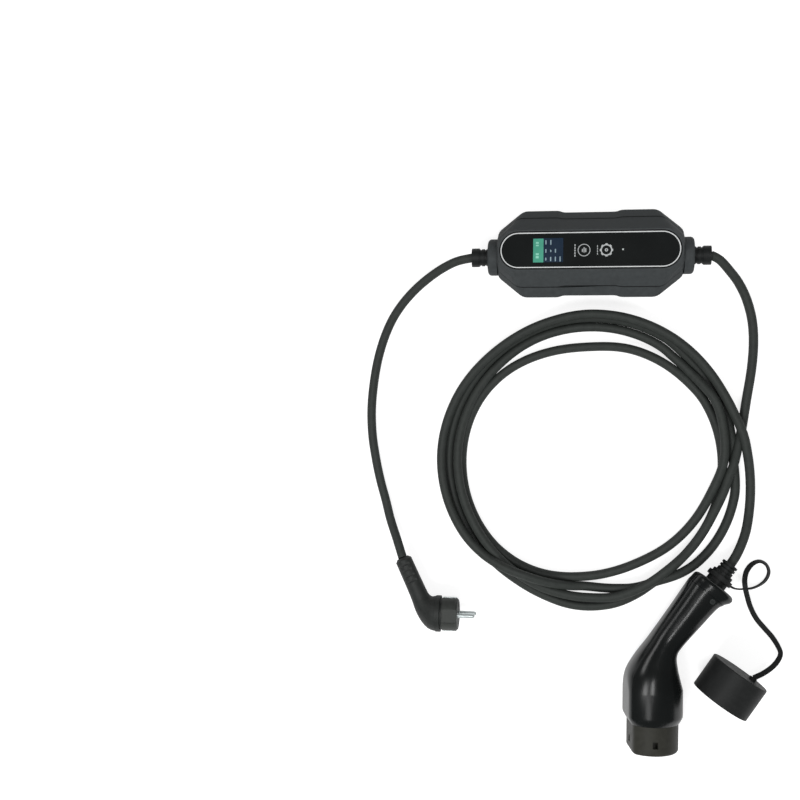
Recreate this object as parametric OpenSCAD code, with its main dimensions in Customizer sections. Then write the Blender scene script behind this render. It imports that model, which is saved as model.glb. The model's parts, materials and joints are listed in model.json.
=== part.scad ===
// Portable EV charger: a control box between an angled mains plug and a vehicle connector,
// with its output cable laid in a loose coil. Millimetres, +Z up.
// The origin is under the middle of the control box, and +X runs along the box to the output end.

/* [Control box] */
// Length of the box between its end faces
box_l = 200; // [190:1:215]
// Width of the box at its widest line
box_w = 95; // [90:1:102]
// Height of the box
box_h = 51.5; // [50:0.5:56]
// Height of the widest line above the base
belt_h = 25; // [23:0.5:27]
// Height of the middle of the joint between the two shells
parting_h = 35; // [34:0.5:37]
// Width of the base
base_w = 74; // [68:1:80]
// Width of the flat top that carries the panel
crown_w = 44; // [43:0.5:48]
// Corner cut of the outline, along the box
corner_l = 28; // [22:1:30]
// Corner cut of the outline, across the box
corner_w = 23; // [19:1:24]
// Corner cut of the flat top
crown_cut = 13; // [10:0.5:14]
// Wall of both shells
wall = 2.6; // [2:0.1:3.2]
// Thickness of the gasket between the shells
gasket_t = 1; // [0.6:0.1:1.6]
// Depth of the finger recess in the long sides
grip_depth = 2; // [1:0.1:3]
// Length of the finger recess
grip_l = 58; // [40:1:70]

/* [Front panel] */
// Length of the panel's trim ring
trim_l = 191; // [182:0.5:192]
// Width of the panel's trim ring
trim_w = 39; // [37:0.5:40]
// Width of the bright rim
rim_w = 1.5; // [1.2:0.1:2.6]
// How far the rim stands above the box
rim_rise = 0.5; // [0.2:0.1:1]
// Thickness of the panel
panel_t = 2.4; // [2:0.1:3]
// Display length along the box
display_l = 32; // [26:0.5:36]
// Display width across the box
display_w = 26; // [22:0.5:28]
// Display centre along the box
display_x = -44; // [-48:0.5:-38]
// Touch key diameter
key_d = 14; // [10:0.5:16]
// First touch key's place along the box
key_x = -6; // [-9:0.5:-4]
// Spacing of the two touch keys
key_pitch = 23.5; // [20:0.5:26]
// Status light's place along the box
led_x = 35; // [32:0.5:42]
// Status light's diameter
led_d = 2; // [1.4:0.1:3]

/* [Inside the box] */
// Circuit board thickness
board_t = 1.6; // [1.2:0.1:2]
// Main board length
board_l = 128; // [120:1:130]
// Main board width
board_w = 66; // [60:1:68]
// Height of the main board's posts above the base
board_z = 13; // [11:0.5:14]
// Length of the display board
small_board_l = 132; // [126:1:150]
// Width of the display board
small_board_w = 34; // [30:0.5:36]
// Gap between the main board and the pillar of a case screw
screw_gap = 2.3; // [1.5:0.1:3]
// Case screw's place across the box
screw_y = 27; // [26:0.5:28]
// Case screw shank diameter
screw_d = 3; // [2.5:0.1:3.5]
// Case screw head diameter
screw_head_d = 5.6; // [5:0.1:6.2]
// Case screw head height
screw_head_h = 2; // [1.6:0.1:2.6]

/* [Cable glands] */
// Height of the cable glands' axis
gland_z = 23; // [22:0.5:24]
// Gland axis, across the box
gland_y = -3; // [-4:0.5:0]
// Gland collar diameter
collar_d = 40; // [36:0.5:42]
// Gland collar length
collar_l = 10.5; // [8:0.5:13]
// Strain relief diameter
relief_d = 19; // [16:0.5:20]
// Strain relief length outside the collar
relief_l = 18; // [15:0.5:24]
// Output and input cable diameter
cable_d = 10; // [8:0.5:11]

/* [Vehicle connector] */
// Connector axis, along the box
conn_x = 68; // [66:0.5:70]
// Radius of the connector's round body, which rests on its side
body_r = 34; // [33:0.5:36]
// Distance from the connector's axis to the body's flat side
body_flat = 25.6; // [25.2:0.1:27]
// Radius of the connector's nose
nose_r = 29.5; // [29:0.1:30]
// Distance from the connector's axis to the nose's flat side
nose_flat = 21.8; // [21.4:0.1:22.2]
// Length of the nose in front of the body
nose_l = 30.5; // [29:0.5:34]
// Wall of the nose and of the connector's body
nose_wall = 2.5; // [2:0.1:2.8]
// Power pin diameter
power_d = 6; // [5.6:0.1:6.2]
// Pilot pin diameter
pilot_d = 3; // [2.8:0.1:3.2]
// Outer diameter of a power contact's sleeve
power_sleeve_d = 13.6; // [12.6:0.1:14]
// Outer diameter of a pilot contact's sleeve
pilot_sleeve_d = 9.5; // [8.6:0.1:10]
// Wall of the metal contact tubes
contact_wall = 1.1; // [0.8:0.1:1.4]
// Depth of the contacts behind the nose's front edge
contact_depth = 4.5; // [3:0.5:7]
// Connector gland nut diameter
nut_d = 23; // [21:0.5:24]
// Connector gland nut length
nut_l = 15; // [13:0.5:18]
// Connector strain relief length
conn_relief_l = 12; // [10:0.5:16]

/* [Dust cap] */
// Depth of the dust cap
cap_depth = 38; // [34:0.5:42]
// Wall of the dust cap
cap_wall = 1.9; // [1.4:0.1:2.2]
// Floor of the dust cap
cap_floor = 3; // [2:0.1:4]
// Width of the tether strap
strap_w = 5.5; // [4.5:0.1:6.5]
// Thickness of the tether strap
strap_t = 1.8; // [1.4:0.1:2.4]

/* [Mains plug] */
// Diameter of the plug's flange, which the plug rests on
flange_d = 40; // [38.5:0.5:41]
// Diameter of the plug's face
face_d = 36.5; // [35.5:0.5:37.5]
// Length of the plug's face
face_l = 17; // [15:0.5:19]
// Plug pin diameter
pin_d = 4.8; // [4:0.1:4.8]
// Plug pin length in front of the face
pin_l = 19; // [18:0.5:20]
// Spacing of the plug pins
pin_pitch = 19; // [18:0.5:20]
// Diameter of the earth hole in the plug's face
earth_d = 5; // [4.6:0.1:5.4]
// Length of the plug's arm from its elbow to the cable
arm_l = 67; // [60:1:74]

/* [Hidden] */

$fn = 48;
up = [0, 0, 1];
// Play between pieces that are pushed together
slip = 0.1;
// Overshoot of a cut past the face that it opens
over = 1;

// Colours as the photograph shows them
shell_grey = [0.27, 0.28, 0.285];
gloss_black = [0.09, 0.1, 0.1];
soft_black = [0.15, 0.155, 0.155];
cable_black = [0.2, 0.21, 0.205];
nose_grey = [0.22, 0.215, 0.2];
bright_metal = [0.78, 0.8, 0.8];
brass = [0.75, 0.62, 0.35];
board_green = [0.1, 0.33, 0.2];

// Heights inside the box
half_l = box_l / 2;
base_edge = 3;
crown_edge = 7;
crown_draft = 2;
lower_top = parting_h - gasket_t / 2;
upper_base = parting_h + gasket_t / 2;
recess_z = box_h - panel_t;
ceiling_z = recess_z - wall;
// The shoulder slopes, so its wall is measured further along the level
shoulder_share = 1.4;
shoulder_inset = wall * shoulder_share;
floor_extra = 0.4;
floor_z = wall + floor_extra;

// Half length, half width and corner cuts of the box's outline at a height
function half_length(z) = lookup(z, [
    [0, half_l - base_edge], [base_edge, half_l], [box_h - crown_edge, half_l], [box_h, half_l - crown_draft]
]);
function half_width(z) = lookup(z, [
    [0, base_w / 2], [belt_h - base_edge, box_w / 2], [belt_h, box_w / 2], [box_h, crown_w / 2]
]);
function cut_length(z) = lookup(z, [[0, corner_l], [belt_h, corner_l], [box_h, crown_cut]]);
function cut_width(z) = lookup(z, [[0, corner_w], [belt_h, corner_w], [box_h, crown_cut]]);
function grip(z) = lookup(z, [[0, grip_depth], [belt_h, grip_depth], [box_h, 0]]);

// A corner of an outline, rounded as a short curve between its two sides
corner_steps = 3;
most_of_side = 0.45;
function along(a, b, d) = a + (b - a) * min(d / norm(b - a), most_of_side);
function bend(a, b, c, t) = a * (1 - t) * (1 - t) + b * 2 * t * (1 - t) + c * t * t;
function rounded(points, r) = [
    for (i = [0 : len(points) - 1], k = [0 : corner_steps])
        let (
            before = points[(i + len(points) - 1) % len(points)],
            here = points[i],
            after = points[(i + 1) % len(points)]
        )
        bend(along(here, before, r), here, along(here, after, r), k / corner_steps)
];

// Level outline of the box at a height, moved inwards by an inset, and at the ends by no more than the wall
outline_r = 5;
grip_slope = 4;
function outline(z, inset) =
    let (
        end_inset = min(inset, wall),
        x = half_length(z) - end_inset,
        y = half_width(z) - inset,
        cx = cut_length(z),
        cy = cut_width(z),
        diagonal = norm([cx, cy]),
        ax = half_length(z) - cx + inset * (cx - diagonal) / cy,
        ay = half_width(z) - cy + (end_inset * cy - inset * diagonal) / cx,
        g = grip_l / 2,
        gy = y - grip(z),
        gx = g + grip_slope
    )
    rounded([
        [x, -ay], [x, ay], [ax, y], [gx, y], [g, gy], [-g, gy], [-gx, y], [-ax, y],
        [-x, ay], [-x, -ay], [-ax, -y], [-gx, -y], [-g, -gy], [g, -gy], [gx, -y], [ax, -y]
    ], outline_r);
function level_ring(z, inset, at = undef) = [for (p = outline(z, inset)) [p[0], p[1], is_undef(at) ? z : at]];

// A solid through a list of rings that all have the same number of points
module loft(rings) {
    count = len(rings[0]);
    last = len(rings) - 1;
    points = [for (ring = rings, p = ring) p];
    bottom = [for (j = [0 : count - 1]) j];
    top = [for (j = [count - 1 : -1 : 0]) last * count + j];
    sides = [
        for (i = [0 : last - 1], j = [0 : count - 1])
            let (
                a = i * count + j,
                b = i * count + (j + 1) % count,
                c = a + count,
                d = b + count
            )
            each [[a, c, d], [a, d, b]]
    ];
    polyhedron(points = points, faces = concat([bottom], sides, [top]));
}

// A tube swept along a route, flattened where its two widths differ
function unit(v) = v / norm(v);
function heading_at(route, i, first, last) =
    i == 0 ? unit(first) : i == len(route) - 1 ? unit(last) : unit(route[i + 1] - route[i - 1]);
function sweep_ring(centre, t, width, height, sides) =
    let (side = unit(cross(up, t)), rise = cross(t, side))
    [
        for (k = [0 : sides - 1])
            centre + side * (width / 2) * cos(360 * (k + 0.5) / sides)
                + rise * (height / 2) * sin(360 * (k + 0.5) / sides)
    ];
module swept(route, first, last, width, height, sides) {
    loft([
        for (i = [0 : len(route) - 1])
            sweep_ring(route[i], heading_at(route, i, first, last), width, height, sides)
    ]);
}

// A flat outline with half-round ends
module pill(length, width) {
    square([length - width, width], center = true);
    for (side = [-1, 1])
        translate([side * (length - width) / 2, 0])
            circle(d = width);
}

// Places along each axis of the object
module at_end(side, x) {
    translate([side * x, gland_y, gland_z])
        rotate([0, side * 90, 0])
            children();
}
module at_screws() {
    for (sx = [-1, 1], sy = [-1, 1])
        translate([sx * screw_x, sy * screw_y, 0])
            children();
}

// Lower shell, with screw pillars, board posts and gland holes
pillar_wall = 2.2;
pillar_r = screw_d / 2 + pillar_wall;
screw_x = board_l / 2 + screw_gap + pillar_r;
post_r = 3;
board_margin = 1;
post_x = board_l / 2 - post_r - board_margin;
post_y = board_w / 2 - post_r - board_margin;
board_screw_d = 2.5;
board_screw_l = 7;
head_play = 0.4;
shank_play = 0.2;
head_depth = 1.5;
seat_z = screw_head_h + head_depth;
neck_r = relief_d / 2;

module at_posts() {
    for (sx = [-1, 1], sy = [-1, 1])
        translate([sx * post_x, sy * post_y, 0])
            children();
}

module lower_shell() {
    color(shell_grey)
    difference() {
        union() {
            difference() {
                loft([for (z = [0, base_edge, belt_h - base_edge, belt_h, lower_top]) level_ring(z, 0)]);
                loft(concat(
                    [level_ring(floor_z, wall)],
                    [for (z = [belt_h - base_edge, belt_h]) level_ring(z, wall)],
                    [for (z = [lower_top, lower_top + over]) level_ring(lower_top, shoulder_inset, z)]
                ));
            }
            at_screws()
                translate([0, 0, floor_z - over])
                    cylinder(r = pillar_r, h = lower_top - floor_z + over);
            at_posts()
                translate([0, 0, floor_z - over])
                    cylinder(r = post_r, h = board_z - floor_z + over);
        }
        at_screws()
            translate([0, 0, -over])
                cylinder(d = screw_d + 2 * shank_play, h = box_h);
        at_screws()
            translate([0, 0, -over])
                cylinder(d = screw_head_d + 2 * head_play, h = seat_z + over);
        at_posts()
            translate([0, 0, board_z + board_t - board_screw_l])
                cylinder(d = board_screw_d, h = board_screw_l);
        for (side = [-1, 1])
            at_end(side, half_l - wall - over)
                cylinder(r = neck_r + slip, h = wall + 2 * over);
    }
}

// Upper shell, with the panel's recess, windows for what stands behind the panel, and screw sockets
boss_drop = 0.6;
boss_roof = 1.6;
boss_top = lookup(screw_y + pillar_r, [[crown_w / 2, box_h], [box_w / 2, belt_h]]) - boss_drop;
screw_top = boss_top - boss_roof;
window_play = 0.4;
pad_margin = 2;
pad_r = key_d / 2 - pad_margin;
key_places = [key_x, key_x + key_pitch];

module upper_shell() {
    color(shell_grey)
    difference() {
        union() {
            difference() {
                loft([for (z = [upper_base - over, box_h - crown_edge, box_h]) level_ring(z, 0)]);
                loft([for (z = [upper_base - 2 * over, ceiling_z]) level_ring(z, shoulder_inset)]);
                translate([-box_l, -box_w, 0])
                    cube([2 * box_l, 2 * box_w, upper_base]);
            }
            at_screws()
                translate([0, 0, upper_base])
                    cylinder(r = pillar_r, h = boss_top - upper_base);
        }
        translate([0, 0, recess_z])
            linear_extrude(panel_t + over)
                pill(trim_l + 2 * slip, trim_w + 2 * slip);
        translate([display_x, 0, ceiling_z - over])
            linear_extrude(wall + 2 * over)
                square([display_l + 2 * window_play, display_w + 2 * window_play], center = true);
        for (x = key_places)
            translate([x, 0, ceiling_z - over])
                cylinder(r = pad_r + window_play, h = wall + 2 * over);
        translate([led_x, 0, ceiling_z - over])
            cylinder(d = led_d + 2 * window_play, h = wall + 2 * over);
        at_screws()
            translate([0, 0, upper_base - over])
                cylinder(d = screw_d, h = screw_top - upper_base + over);
    }
}

// Gasket that shows as the dark line between the shells
gasket_back = 0.3;
module case_gasket() {
    color(soft_black)
    translate([0, 0, lower_top])
        linear_extrude(gasket_t)
            difference() {
                polygon(outline(lower_top, gasket_back));
                polygon(outline(lower_top, shoulder_inset));
            }
}

// Four screws from below, with hexagon sockets in their heads
socket_d = 2.9;
socket_depth = 1.2;
module case_screws() {
    color(bright_metal)
    at_screws()
        difference() {
            union() {
                translate([0, 0, seat_z - screw_head_h])
                    cylinder(d = screw_head_d, h = screw_head_h);
                translate([0, 0, seat_z])
                    cylinder(d = screw_d, h = screw_top - seat_z);
            }
            translate([0, 0, seat_z - screw_head_h - over])
                cylinder(d = socket_d, h = socket_depth + over, $fn = 6);
        }
}

// Bright rim around the panel
module panel_trim() {
    color(bright_metal)
    translate([0, 0, recess_z])
        linear_extrude(panel_t + rim_rise)
            difference() {
                pill(trim_l, trim_w);
                pill(trim_l - 2 * rim_w, trim_w - 2 * rim_w);
            }
}

// Gloss panel with the display's window and the status light's hole
module front_panel() {
    color(gloss_black)
    translate([0, 0, recess_z])
        linear_extrude(panel_t)
            difference() {
                pill(trim_l - 2 * rim_w - 2 * slip, trim_w - 2 * rim_w - 2 * slip);
                translate([display_x, 0])
                    square([display_l + 2 * slip, display_w + 2 * slip], center = true);
                translate([led_x, 0])
                    circle(d = led_d + 2 * slip);
            }
}

module display() {
    color([0.1, 0.16, 0.23])
    translate([display_x, 0, ceiling_z])
        linear_extrude(box_h - ceiling_z)
            square([display_l, display_w], center = true);
}

module touch_pads() {
    color(brass)
    for (x = key_places)
        translate([x, 0, ceiling_z])
            cylinder(r = pad_r, h = wall);
}

module status_led() {
    color("white")
    translate([led_x, 0, ceiling_z])
        cylinder(d = led_d, h = box_h - ceiling_z);
}

// Display board, which lies against the ceiling of the upper shell
module display_board() {
    color(board_green)
    translate([0, 0, ceiling_z - board_t])
        linear_extrude(board_t)
            square([small_board_l, small_board_w], center = true);
}

// Main board on its posts, with what stands on it
board_top = board_z + board_t;
module main_board() {
    color(board_green)
    difference() {
        translate([0, 0, board_z])
            linear_extrude(board_t)
                square([board_l, board_w], center = true);
        at_posts()
            translate([0, 0, board_z - over])
                cylinder(d = board_screw_d + 2 * shank_play, h = board_t + 2 * over);
    }
}

board_head_d = 4.6;
board_head_h = 1.8;
module board_screws() {
    color(bright_metal)
    at_posts() {
        translate([0, 0, board_top - board_screw_l])
            cylinder(d = board_screw_d, h = board_screw_l);
        translate([0, 0, board_top])
            cylinder(d = board_head_d, h = board_head_h);
    }
}

// The components keep their distance from the terminal blocks at the board's ends
terminal_l = 11;
inner_end = board_l / 2 - terminal_l;
relay_size = [28, 12.5, 15.5];
relay_pitch = 17;
relay_back = 10;
relay_x = relay_back + relay_size[0] / 2 - inner_end;
module relays() {
    color([0.12, 0.13, 0.16])
    for (side = [-1, 1])
        translate([relay_x - relay_size[0] / 2, side * relay_pitch / 2 - relay_size[1] / 2, board_top])
            cube(relay_size);
}

power_size = [34, 22, 18];
power_back = 8;
power_place = [inner_end - power_back - power_size[0] / 2, 13];
module power_module() {
    color([0.1, 0.1, 0.1])
    translate([power_place[0] - power_size[0] / 2, power_place[1] - power_size[1] / 2, board_top])
        cube(power_size);
}

can_r = 5;
can_h = 15;
can_pitch = 12;
can_back = 14;
can_place = [inner_end - can_back - can_r - can_pitch, -16];
module capacitors() {
    color([0.2, 0.22, 0.3])
    for (i = [0 : 1])
        translate([can_place[0] + i * can_pitch, can_place[1], board_top])
            cylinder(r = can_r, h = can_h);
}

// Ring core that senses fault current, midway between the relays and the capacitors
core_r = 11;
core_hole_r = 6.2;
core_h = 9;
core_place = [(relay_x + relay_size[0] / 2 + can_place[0] - can_r) / 2, -15];
module current_transformer() {
    color([0.16, 0.2, 0.3])
    translate([core_place[0], core_place[1], board_top])
        rotate_extrude()
            translate([core_hole_r, 0])
                square([core_r - core_hole_r, core_h]);
}

disc_r = 6;
disc_t = 4;
disc_pitch = 7;
disc_gap = 3;
disc_place = [power_place[0] - power_size[0] / 2 - disc_gap - disc_r, 8];
module varistors() {
    color([0.15, 0.3, 0.55])
    for (i = [0 : 1])
        translate([disc_place[0], disc_place[1] + i * disc_pitch, board_top + disc_r])
            rotate([90, 0, 0])
                linear_extrude(disc_t) {
                    circle(r = disc_r);
                    translate([-disc_r / 2, -disc_r])
                        square([disc_r, disc_r]);
                }
}

// Terminal blocks at the two ends of the board, and the wires into them from the glands
terminal_rise = 4;
terminal_size = [terminal_l, 24, gland_z - board_top + terminal_rise];
wire_d = 3;
wire_pitch = 7;
inner_flange_rise = 2.5;
inner_flange_r = neck_r + inner_flange_rise;
inner_flange_t = 3;
module terminal_blocks() {
    color([0.16, 0.35, 0.22])
    for (side = [-1, 1])
        translate([
            side * (board_l / 2 - terminal_size[0] / 2) - terminal_size[0] / 2,
            gland_y - terminal_size[1] / 2,
            board_top
        ])
            cube(terminal_size);
}
module wires(side) {
    for (i = [-1 : 1])
        at_end(side, board_l / 2)
            translate([0, i * wire_pitch, 0])
                cylinder(d = wire_d, h = half_l - wall - inner_flange_t - board_l / 2);
}
module input_wires() {
    color([0.2, 0.3, 0.6])
    wires(-1);
}
module output_wires() {
    color([0.5, 0.35, 0.2])
    wires(1);
}

// Round collar on each end face, with a rounded rim
collar_round = 4;
module collar(side) {
    at_end(side, half_l)
        rotate_extrude()
            difference() {
                translate([neck_r + slip, 0])
                    square([collar_d / 2 - neck_r - slip, collar_l]);
                translate([collar_d / 2 - collar_round, collar_l - collar_round])
                    difference() {
                        square(collar_round + over);
                        circle(r = collar_round);
                    }
            }
}
module input_collar() {
    color(shell_grey)
    collar(-1);
}
module output_collar() {
    color(shell_grey)
    collar(1);
}

// Rubber strain relief: a flange inside the wall, a neck through it, and a ribbed sleeve with an end lip
rib_count = 2;
rib_depth = 0.9;
// Share of the ribs' spacing that a groove takes
groove_share = 0.4;
lip_rise = 0.8;
lip_l = 8;
module strain_relief(side) {
    start = half_l - wall;
    reach = wall + collar_l + relief_l;
    groove_pitch = (relief_l - lip_l) / rib_count;
    at_end(side, start)
        rotate_extrude()
            difference() {
                union() {
                    translate([0, -inner_flange_t])
                        square([inner_flange_r, inner_flange_t]);
                    square([neck_r, reach]);
                    translate([0, reach - lip_l])
                        square([neck_r + lip_rise, lip_l]);
                }
                for (i = [0 : rib_count - 1])
                    translate([neck_r - rib_depth, wall + collar_l + groove_pitch * (i + groove_share)])
                        square([rib_depth + over, groove_pitch * groove_share]);
            }
}
module input_relief() {
    color(soft_black)
    strain_relief(-1);
}
module output_relief() {
    color(soft_black)
    strain_relief(1);
}

// Connector: the nose points along -Y with its flat side to -X, and the handle leaves at an angle
// It lies rolled about the nose's axis, so that the end of the handle comes down to the floor
conn_z = body_r;
conn_roll = 8.5;
front_y = -500;
nose_front_y = front_y - nose_l;
body_edge = 6.5;
body_back_y = -466;
handle_heading = 52;
handle_start = [conn_x + 2.4, body_back_y + 34.1];
handle_u = [cos(handle_heading), sin(handle_heading)];
handle_left = [-sin(handle_heading), cos(handle_heading)];
handle_l = 88;
rear_cap_l = 13;
gland_shift = 3.5;
module rolled() {
    translate([conn_x, 0, conn_z])
        rotate([0, conn_roll, 0])
            translate([-conn_x, 0, -conn_z])
                children();
}
function rolled_way(v) = [
    v[0] * cos(conn_roll) + v[2] * sin(conn_roll), v[1], v[2] * cos(conn_roll) - v[0] * sin(conn_roll)
];
function rolled_place(p) = [conn_x, 0, conn_z] + rolled_way([p[0] - conn_x, p[1], p[2] - conn_z]);

// A section of the housing: place, heading, half width, half height, squareness, reach to the flat left side
// The flat side is crowned a little
ring_points = 32;
flat_crown = 0.5;
function power_of(c, e) = sign(c) * pow(abs(c), 2 / e);
function section(place, heading, half_w, half_h, e, flat) = [
    for (k = [0 : ring_points - 1])
        let (
            angle = 360 * k / ring_points,
            v = half_h * power_of(sin(angle), e),
            crowned = flat + flat_crown * (1 - pow(v / half_h, 2)),
            w = min(half_w * power_of(cos(angle), e), crowned)
        )
        [place[0] - w * sin(heading), place[1] + w * cos(heading), conn_z + v]
];
function handle_point(reach, shift = 0) = handle_start + handle_u * reach - handle_left * shift;

// Elbow behind the round front:
// step back, shift sideways, heading, half width, half height, squareness, cut of the flat side
elbow_table = [
    [16, 1.5, 86, 28.8, 31, 2.1, 2.2],
    [28.4, 5.2, 77, 23.6, 27, 2.2, 0],
    [43.3, 11.3, 63, 17.9, 23, 2.4, 0]
];
// Handle: share of its length, half width, half height, squareness
butt_w = 21;
butt_h = 22.5;
butt_e = 2.6;
grip_table = [
    [0.31, 17.2, 21, 2.5],
    [0.64, 18.8, 21.7, 2.6],
    [1, butt_w, butt_h, butt_e]
];
bezel_lip = 1.2;
bezel = body_r - nose_r - bezel_lip;
housing_wall = 3;

// The housing's stations at an inset, as place, heading, half sizes, squareness and reach of the flat side
function housing_stations(inset, front_r, front_flat) = concat(
    [[conn_x, body_back_y, 90, front_r, front_r, 2, front_flat]],
    [
        for (s = elbow_table)
            [conn_x + s[1], body_back_y + s[0], s[2], s[3] - inset, s[4] - inset, s[5], s[3] - s[6] - inset]
    ],
    [
        for (g = grip_table)
            let (p = handle_point(g[0] * handle_l))
            [p[0], p[1], handle_heading, g[1] - inset, g[2] - inset, g[3], g[1]]
    ]
);

// A smooth run through a list of stations
run_steps = 3;
function between(a, b, c, d, t) =
    (2 * b + (c - a) * t + (2 * a - 5 * b + 4 * c - d) * t * t + (3 * b - a - 3 * c + d) * t * t * t) / 2;
function smooth_run(list) = [
    for (i = [0 : len(list) - 2], k = [0 : run_steps - 1])
        between(list[max(i - 1, 0)], list[i], list[i + 1], list[min(i + 2, len(list) - 1)], k / run_steps),
    list[len(list) - 1]
];
function station_ring(s) = section([s[0], s[1]], s[2], s[3], s[4], s[5], s[6]);
function housing_rings(inset, front_r, front_flat) = [
    for (s = smooth_run(housing_stations(inset, front_r, front_flat))) station_ring(s)
];

module d_shape(r, flat) {
    intersection() {
        circle(r = r);
        translate([-flat, -r])
            square([flat + r, 2 * r]);
    }
}
module at_nose(y) {
    translate([conn_x, y, conn_z])
        rotate([90, 0, 0])
            children();
}
module at_handle(reach) {
    place = handle_point(reach, gland_shift);
    translate([place[0], place[1], conn_z])
        rotate([0, 0, handle_heading])
            rotate([0, 90, 0])
                children();
}

// One bent moulding, open at the nose and at the butt, with a screw seat in its upper flank near the butt
shroud_seat = 14;
shroud_back_y = front_y + shroud_seat;
flank_back = 4;
flank_shift = 7;
flank_screw_d = 3;
flank_head_d = 5.8;
flank_head_h = 1.6;
flank_screw_l = 5;
flank_drop = 2.6;
flank_seat_z = conn_z + butt_h - flank_drop;
module at_flank(z) {
    place = handle_point(handle_l - flank_back, flank_shift);
    translate([place[0], place[1], z])
        children();
}
module connector_housing() {
    color(gloss_black)
    rolled()
    difference() {
        loft(concat(
            [
                section([conn_x, front_y], 90, body_r - bezel, body_r - bezel, 2, body_flat - bezel),
                section([conn_x, front_y + body_edge], 90, body_r, body_r, 2, body_flat)
            ],
            housing_rings(0, body_r, body_flat)
        ));
        loft(concat(
            [section([conn_x, shroud_back_y], 90, nose_r, nose_r, 2, nose_flat)],
            housing_rings(housing_wall, nose_r, nose_flat),
            [
                section(handle_point(handle_l + over), handle_heading,
                    butt_w - housing_wall, butt_h - housing_wall, butt_e, butt_w)
            ]
        ));
        at_nose(shroud_back_y + slip)
            linear_extrude(shroud_seat + over + slip)
                d_shape(nose_r + slip, nose_flat + slip);
        at_flank(conn_z)
            cylinder(d = flank_screw_d + 2 * shank_play, h = body_r);
        at_flank(flank_seat_z)
            cylinder(d = flank_head_d + 2 * slip, h = body_r);
    }
}

// Nose: a D-shaped tube with small windows near its front edge
window_w = 5.5;
window_l = 7;
window_back = 8.5;
window_start = shroud_back_y - nose_front_y - window_back - window_l;
module nose_shroud() {
    color(nose_grey)
    rolled()
    at_nose(shroud_back_y)
        difference() {
            linear_extrude(shroud_back_y - nose_front_y)
                difference() {
                    d_shape(nose_r, nose_flat);
                    d_shape(nose_r - nose_wall, nose_flat - nose_wall);
                }
            for (turn = [90, -90])
                rotate([0, 0, turn])
                    translate([nose_r - 2 * nose_wall, -window_w / 2, window_start])
                        cube([3 * nose_wall, window_w, window_l]);
            translate([-nose_flat - nose_wall, -window_w / 2, window_start])
                cube([3 * nose_wall, window_w, window_l]);
        }
}

// Contact places from the connector's axis: across the flat, and towards the flat
power_places = [[-17, 0], [0, 0], [17, 0]];
blank_places = [[-8.6, -15], [8.6, -15]];
pilot_places = [[-9, 13.5], [9, 13.5]];
module at_contact(place, y) {
    at_nose(y)
        translate([-place[1], place[0], 0])
            children();
}
carrier_t = 11;
carrier_step = 1;
carrier_front_y = front_y - carrier_step;
carrier_back_y = carrier_front_y + carrier_t;
sleeve_front_y = nose_front_y + contact_depth;
socket_back = 5;
socket_bore_l = 26;
mouth_l = 1.5;
mouth_play = 0.3;
power_socket_r = power_d / 2 + contact_wall;
pilot_socket_r = pilot_d / 2 + contact_wall;

module sleeve(place, outer_d) {
    at_contact(place, carrier_front_y)
        cylinder(d = outer_d, h = carrier_front_y - sleeve_front_y);
}
module contact_cut(place, socket_r, pin_r) {
    at_contact(place, carrier_back_y + over)
        cylinder(r = socket_r + slip / 2, h = carrier_back_y + over - sleeve_front_y - mouth_l);
    at_contact(place, sleeve_front_y + mouth_l + over)
        cylinder(r = pin_r + mouth_play, h = mouth_l + 2 * over);
}
module contact_carrier() {
    color(soft_black)
    rolled()
    difference() {
        union() {
            at_nose(carrier_back_y)
                linear_extrude(carrier_t)
                    d_shape(nose_r - nose_wall - slip, nose_flat - nose_wall - slip);
            for (place = power_places)
                sleeve(place, power_sleeve_d);
            for (place = blank_places)
                sleeve(place, power_sleeve_d);
            for (place = pilot_places)
                sleeve(place, pilot_sleeve_d);
        }
        for (place = power_places)
            contact_cut(place, power_socket_r, power_d / 2);
        for (place = pilot_places)
            contact_cut(place, pilot_socket_r, pilot_d / 2);
    }
}

// Metal contact tubes, closed at the back by their crimp ends
module contact_tube(place, socket_r, pin_r) {
    tube_front_y = sleeve_front_y + mouth_l;
    at_contact(place, carrier_back_y + socket_back)
        difference() {
            cylinder(r = socket_r, h = carrier_back_y + socket_back - tube_front_y);
            translate([0, 0, carrier_back_y + socket_back - tube_front_y - socket_bore_l])
                cylinder(r = pin_r, h = socket_bore_l + over);
        }
}
module power_sockets() {
    color(brass)
    rolled()
    for (place = power_places)
        contact_tube(place, power_socket_r, power_d / 2);
}
module pilot_sockets() {
    color(brass)
    rolled()
    for (place = pilot_places)
        contact_tube(place, pilot_socket_r, pilot_d / 2);
}

// Cable core inside the handle, from the strain relief to the middle contact
lead_d = 8;
lead_sides = 10;
function on_axis(p) = [p[0], p[1], conn_z];
// Share of the handle's length, and share of the gland's shift there
lead_table = [[0.34, 0], [0.62, 0.5], [0.84, 1], [0.99, 1]];
leads_route = concat(
    [on_axis([conn_x, carrier_back_y + socket_back]), on_axis([conn_x, body_back_y])],
    [for (s = elbow_table) on_axis([conn_x + s[1], body_back_y + s[0]])],
    [for (s = lead_table) on_axis(handle_point(s[0] * handle_l, s[1] * gland_shift))],
    [on_axis(handle_point(handle_l + rear_cap_l, gland_shift))]
);
module connector_leads() {
    color([0.45, 0.42, 0.38])
    rolled()
    swept(leads_route, [0, 1, 0], [handle_u[0], handle_u[1], 0], lead_d, lead_d, lead_sides);
}

// Rear cap of the handle, flared to the outer side, with a spigot that the flank screw holds in the butt
cap_lip = 2.3;
cap_bulge = 2.7;
cap_rise = 0.4;
cap_flare = 6;
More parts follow.
